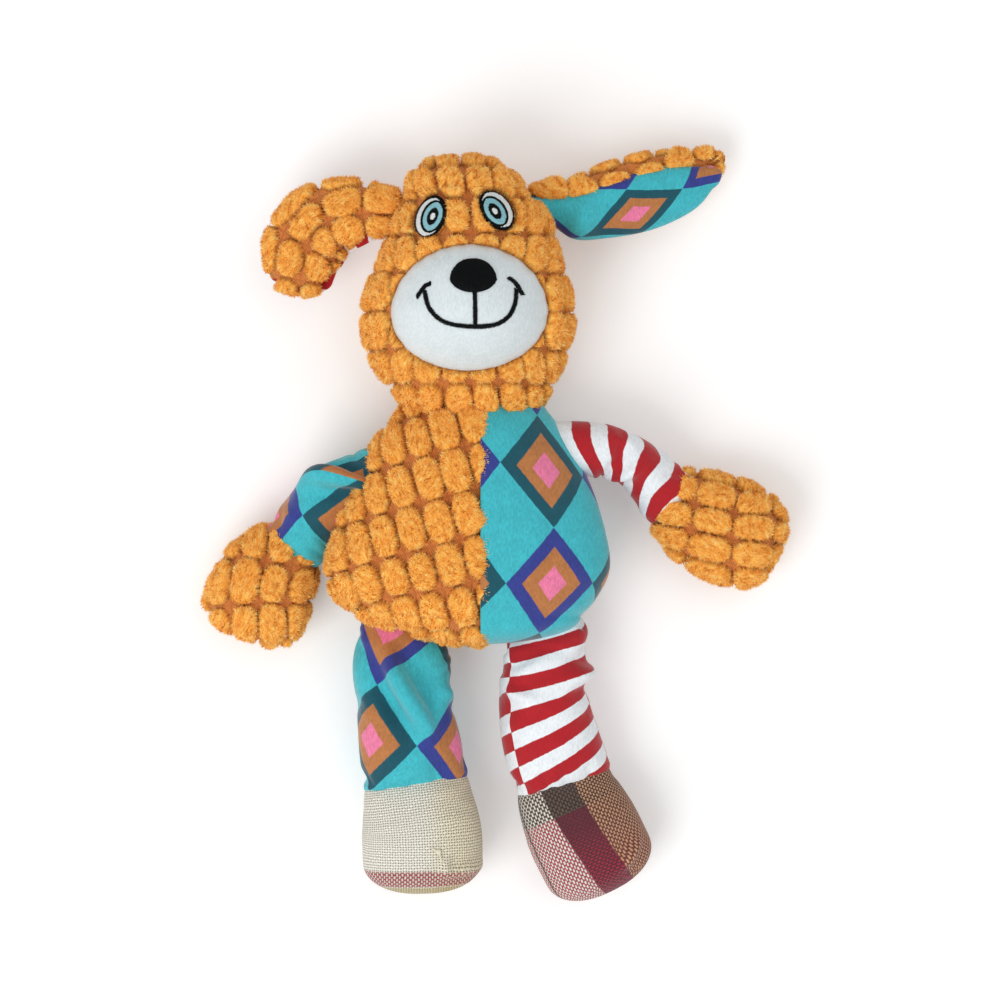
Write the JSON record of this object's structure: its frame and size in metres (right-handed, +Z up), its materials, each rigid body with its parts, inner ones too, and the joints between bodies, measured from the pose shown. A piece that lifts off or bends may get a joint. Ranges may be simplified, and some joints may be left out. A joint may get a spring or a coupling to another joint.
{
  "type": "squeaky plush dog toy",
  "caption": "Patchwork plush dog lying on its back: lumpy pile body, printed sleeves and legs, woven feet, floppy ears, embroidered face and a press-to-squeak bulb in the belly.",
  "frame": {"origin": "middle of the torso's back where it rests, at its widest", "axes": "+Z up out of the belly, +Y to the head, +X to the toy's own left"},
  "size_m": [0.2485, 0.3193, 0.087],
  "materials": {
    "plush": "orange lumpy pile on ribbed base cloth",
    "argyle_print": "short pile printed with nested diamonds on turquoise",
    "stripe_print": "short pile printed with red and white stripes",
    "plain_weave": "coarse cream plain weave with a dark red band",
    "plaid_weave": "coarse burgundy, black and cream plaid weave",
    "white_velboa": "white short pile",
    "black_thread": "satin stitch",
    "white_thread": "satin stitch",
    "blue_thread": "satin stitch",
    "fibre_fill": "white polyester fibre",
    "squeaker_vinyl": "translucent soft vinyl",
    "squeaker_plastic": "moulded white plastic"
  },
  "bodies": {
    "torso": {"torso_plush_cover": "plush", "torso_print_cover": "argyle_print", "torso_stuffing_back": "fibre_fill", "torso_stuffing_front": "fibre_fill", "squeaker_bulb": "squeaker_vinyl"},
    "squeaker_top": {"squeaker_whistle": "squeaker_plastic", "squeaker_reed": "squeaker_plastic"},
    "head": {"head_cover": "plush", "muzzle_cover": "white_velboa", "head_stuffing": "fibre_fill", "nose_embroidery": "black_thread", "mouth_embroidery": "black_thread", "right_eye_outline": "black_thread", "right_eye_white": "white_thread", "right_eye_iris": "blue_thread", "right_eye_pupil": "black_thread", "left_eye_outline": "black_thread", "left_eye_white": "white_thread", "left_eye_iris": "blue_thread", "left_eye_pupil": "black_thread"},
    "right_ear": {"right_ear_plush": "plush", "right_ear_lining": "stripe_print"},
    "right_arm": {"right_arm_sleeve": "argyle_print", "right_arm_stuffing": "fibre_fill"},
    "right_paw": {"right_paw_cover": "plush", "right_paw_stuffing": "fibre_fill"},
    "right_leg": {"right_leg_sleeve": "argyle_print", "right_leg_stuffing": "fibre_fill"},
    "right_foot": {"right_foot_cover": "plain_weave", "right_foot_stuffing": "fibre_fill"},
    "left_ear": {"left_ear_plush": "plush", "left_ear_lining": "argyle_print"},
    "left_arm": {"left_arm_sleeve": "stripe_print", "left_arm_stuffing": "fibre_fill"},
    "left_paw": {"left_paw_cover": "plush", "left_paw_stuffing": "fibre_fill"},
    "left_leg": {"left_leg_sleeve": "stripe_print", "left_leg_stuffing": "fibre_fill"},
    "left_foot": {"left_foot_cover": "plaid_weave", "left_foot_stuffing": "fibre_fill"}
  },
  "joints": [
    {"name": "neck_nod", "type": "hinge", "parent": "torso", "child": "head", "pos_m": [0.00337, 0.0748, 0.0305], "axis": [1, 0, 0], "range_deg": [-30, 30]},
    {"name": "right_ear_fold", "type": "hinge", "parent": "head", "child": "right_ear", "pos_m": [-0.03128, 0.15208, 0.0365], "axis": [0.4702, 0.8826, 0], "range_deg": [-25, 90]},
    {"name": "right_shoulder", "type": "hinge", "parent": "torso", "child": "right_arm", "pos_m": [-0.05233, 0.04366, 0.0305], "axis": [0.0828, 0.9966, 0], "range_deg": [-35, 55]},
    {"name": "right_wrist", "type": "hinge", "parent": "right_arm", "child": "right_paw", "pos_m": [-0.08377, 0.00905, 0.018], "axis": [-0.9153, 0.4028, 0], "range_deg": [-30, 35]},
    {"name": "right_hip", "type": "hinge", "parent": "torso", "child": "right_leg", "pos_m": [-0.02635, -0.03629, 0.0305], "axis": [-0.992, 0.1258, 0], "range_deg": [-35, 60]},
    {"name": "right_ankle", "type": "hinge", "parent": "right_leg", "child": "right_foot", "pos_m": [-0.02033, -0.09059, 0.0185], "axis": [-0.9883, -0.1525, 0], "range_deg": [-30, 45]},
    {"name": "left_ear_fold", "type": "hinge", "parent": "head", "child": "left_ear", "pos_m": [0.03402, 0.15219, 0.0365], "axis": [0.505, -0.8631, 0], "range_deg": [-25, 90]},
    {"name": "left_shoulder", "type": "hinge", "parent": "torso", "child": "left_arm", "pos_m": [0.04415, 0.0518, 0.0305], "axis": [0.4629, -0.8864, 0], "range_deg": [-35, 60]},
    {"name": "left_wrist", "type": "hinge", "parent": "left_arm", "child": "left_paw", "pos_m": [0.09088, 0.02284, 0.018], "axis": [-0.7364, -0.6765, 0], "range_deg": [-30, 35]},
    {"name": "left_hip", "type": "hinge", "parent": "torso", "child": "left_leg", "pos_m": [0.03349, -0.03169, 0.0305], "axis": [-0.9848, -0.1735, 0], "range_deg": [-35, 60]},
    {"name": "left_ankle", "type": "hinge", "parent": "left_leg", "child": "left_foot", "pos_m": [0.04211, -0.09289, 0.0185], "axis": [-0.9903, -0.139, 0], "range_deg": [-30, 45]},
    {"name": "squeaker_press", "type": "slide", "parent": "torso", "child": "squeaker_top", "axis": [0, 0, 1], "range_m": [-0.006, 0], "stiffness_N_per_m": 300, "deforming": ["squeaker_bulb"]}
  ]
}
